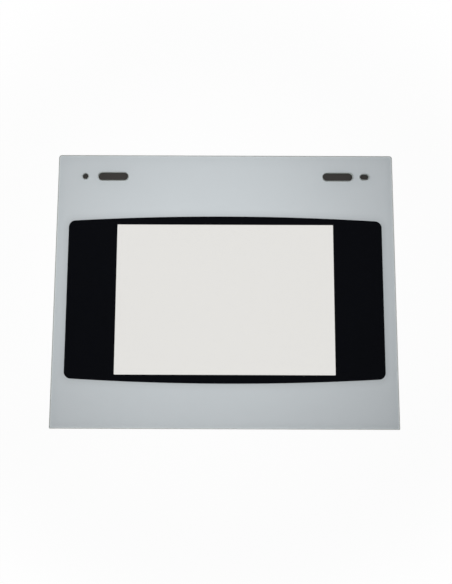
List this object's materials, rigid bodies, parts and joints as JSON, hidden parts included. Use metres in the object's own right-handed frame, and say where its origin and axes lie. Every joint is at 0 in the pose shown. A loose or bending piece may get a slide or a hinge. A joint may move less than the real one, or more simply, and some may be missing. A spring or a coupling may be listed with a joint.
{
  "type": "oven door glass",
  "caption": "Flat toughened outer pane for an oven door, with a black bowed band and clear window printed in a white surround, and handle cut-outs near its top edge.",
  "frame": {"origin": "under the middle of the pane, on the plane that the printed back rests on", "axes": "+X along the pane's width towards the slotted screw hole, +Y up the door towards the cut-outs, +Z out of the front face"},
  "size_m": [0.595, 0.478, 0.0041],
  "materials": {
    "float_glass": "polished",
    "white_enamel": "satin",
    "black_enamel": "satin"
  },
  "bodies": {
    "root": {"door_glass": "float_glass"}
  },
  "joints": []
}
